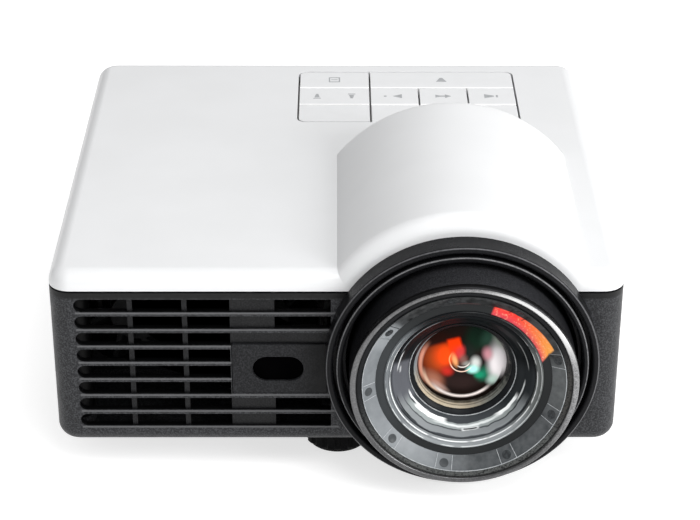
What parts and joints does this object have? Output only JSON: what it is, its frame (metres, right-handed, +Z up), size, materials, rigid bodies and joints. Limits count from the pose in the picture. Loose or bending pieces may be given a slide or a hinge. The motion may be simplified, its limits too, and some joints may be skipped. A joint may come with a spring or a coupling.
{
  "type": "pocket projector",
  "caption": "Small box-shaped projector with a large round lens standing out at the front, louvred front, a domed cover over the lens and a key block on top.",
  "frame": {"origin": "on the table below the middle of the whole object, lens barrel included", "axes": "+Z up, +Y from the lens towards the connector panel, +X to the side of the lens"},
  "size_m": [0.112, 0.1168, 0.0579],
  "materials": {
    "cover_white": "gloss white moulding",
    "key_white": "satin white key caps",
    "case_black": "fine spark-eroded texture",
    "window_black": "polished dark window",
    "collar_black": "fine satin texture",
    "barrel_black": "flat black",
    "bezel_gray": "bead-blasted dark gray",
    "clear_glass": "polished",
    "coated_glass": "polished, colour coated",
    "steel": "plated steel",
    "brass": "turned brass",
    "aluminium": "extruded, matte",
    "engine_black": "glass-filled moulding",
    "fan_black": "moulded",
    "light_source": "metal-core board with a lens",
    "board_green": "solder mask",
    "chip_gray": "ceramic package",
    "socket_metal": "nickel plated shell",
    "socket_black": "moulded",
    "speaker": "moulded with a paper cone",
    "guide_white": "moulded",
    "foot_black": "moulded, scalloped",
    "rubber": "soft pad"
  },
  "bodies": {
    "case": {"top_cover": "cover_white", "lower_case": "case_black", "rear_panel": "case_black", "sensor_plate": "case_black", "sensor_window": "window_black", "remote_window": "window_black", "lens_collar": "collar_black", "trim_ring": "collar_black", "lens_barrel": "barrel_black", "baffle_tube": "barrel_black", "bezel_ring": "bezel_gray", "front_lens": "clear_glass", "relay_lens": "clear_glass", "prism": "clear_glass", "dichroic_plates": "clear_glass", "inner_lens": "coated_glass", "lens_screws": "steel", "guide_rod": "steel", "focus_bracket": "steel", "focus_motor": "steel", "board_screws": "steel", "case_screws": "steel", "rocker_pin": "steel", "tripod_insert": "brass", "heat_sink": "aluminium", "chip_heat_sink": "aluminium", "engine_housing": "engine_black", "fan_frames": "fan_black", "led_modules": "light_source", "main_board": "board_green", "chip_board": "board_green", "sensor_board": "board_green", "key_board": "board_green", "mirror_chip": "chip_gray", "hdmi_socket": "socket_metal", "usb_socket": "socket_metal", "universal_socket": "socket_metal", "card_slot": "socket_metal", "power_jack": "socket_black", "audio_jack": "socket_black", "speaker_frame": "speaker", "speaker_cone": "speaker", "key_guide": "guide_white", "rear_feet": "rubber"},
    "menu_key": {"menu_key": "key_white"},
    "power_key": {"power_key": "key_white"},
    "up_key": {"up_key": "key_white"},
    "left_key": {"left_key": "key_white"},
    "enter_key": {"enter_key": "key_white"},
    "right_key": {"right_key": "key_white"},
    "down_key": {"down_key": "key_white"},
    "focus_rocker": {"focus_rocker": "key_white"},
    "focus_cell": {"focus_cell": "barrel_black", "focus_lens": "clear_glass"},
    "focus_screw": {"focus_screw": "brass"},
    "fan_left": {"fan_rotor_left": "fan_black"},
    "fan_right": {"fan_rotor_right": "fan_black"},
    "foot_pad": {"foot_pad": "rubber"},
    "foot_wheel": {"foot_wheel": "foot_black"}
  },
  "joints": [
    {"name": "menu_press", "type": "slide", "parent": "case", "child": "menu_key", "axis": [0, 0, -1], "range_m": [0, 0.0005], "stiffness_N_per_m": 1500, "springref_m": -0.0003},
    {"name": "power_press", "type": "slide", "parent": "case", "child": "power_key", "axis": [0, 0, -1], "range_m": [0, 0.0005], "stiffness_N_per_m": 1500, "springref_m": -0.0003},
    {"name": "up_press", "type": "slide", "parent": "case", "child": "up_key", "axis": [0, 0, -1], "range_m": [0, 0.0005], "stiffness_N_per_m": 1500, "springref_m": -0.0003},
    {"name": "left_press", "type": "slide", "parent": "case", "child": "left_key", "axis": [0, 0, -1], "range_m": [0, 0.0005], "stiffness_N_per_m": 1500, "springref_m": -0.0003},
    {"name": "enter_press", "type": "slide", "parent": "case", "child": "enter_key", "axis": [0, 0, -1], "range_m": [0, 0.0005], "stiffness_N_per_m": 1500, "springref_m": -0.0003},
    {"name": "right_press", "type": "slide", "parent": "case", "child": "right_key", "axis": [0, 0, -1], "range_m": [0, 0.0005], "stiffness_N_per_m": 1500, "springref_m": -0.0003},
    {"name": "down_press", "type": "slide", "parent": "case", "child": "down_key", "axis": [0, 0, -1], "range_m": [0, 0.0005], "stiffness_N_per_m": 1500, "springref_m": -0.0003},
    {"name": "focus_rock", "type": "hinge", "parent": "case", "child": "focus_rocker", "pos_m": [-0.00057, 0.03796, 0.0404], "axis": [0, 1, 0], "range_deg": [-2.5, 2.5], "stiffness_Nm_per_rad": 0.12},
    {"name": "focus_turn", "type": "hinge", "parent": "case", "child": "focus_screw", "pos_m": [0.0245, -0.0196, 0.0489], "axis": [0, -1, 0], "range_deg": [-2160, 2160]},
    {"name": "focus_slide", "type": "slide", "parent": "case", "child": "focus_cell", "axis": [0, 1, 0], "range_m": [-0.003, 0.003]},
    {"name": "fan_left_spin", "type": "hinge", "parent": "case", "child": "fan_left", "pos_m": [-0.0409, -0.0216, 0.0248], "axis": [0, 1, 0], "continuous": true},
    {"name": "fan_right_spin", "type": "hinge", "parent": "case", "child": "fan_right", "pos_m": [-0.0153, -0.0216, 0.0248], "axis": [0, 1, 0], "continuous": true},
    {"name": "foot_slide", "type": "slide", "parent": "case", "child": "foot_pad", "axis": [0, 0, -1], "range_m": [0, 0.006]},
    {"name": "foot_turn", "type": "hinge", "parent": "foot_pad", "child": "foot_wheel", "pos_m": [0.00025, -0.0331, 0.0071], "axis": [0, 0, -1], "range_deg": [0, 2160]}
  ],
  "couplings": [
    {"joint": "focus_turn", "follows": "focus_slide", "rad_per_m": 12566},
    {"joint": "foot_turn", "follows": "foot_slide", "rad_per_m": 6283.2}
  ]
}
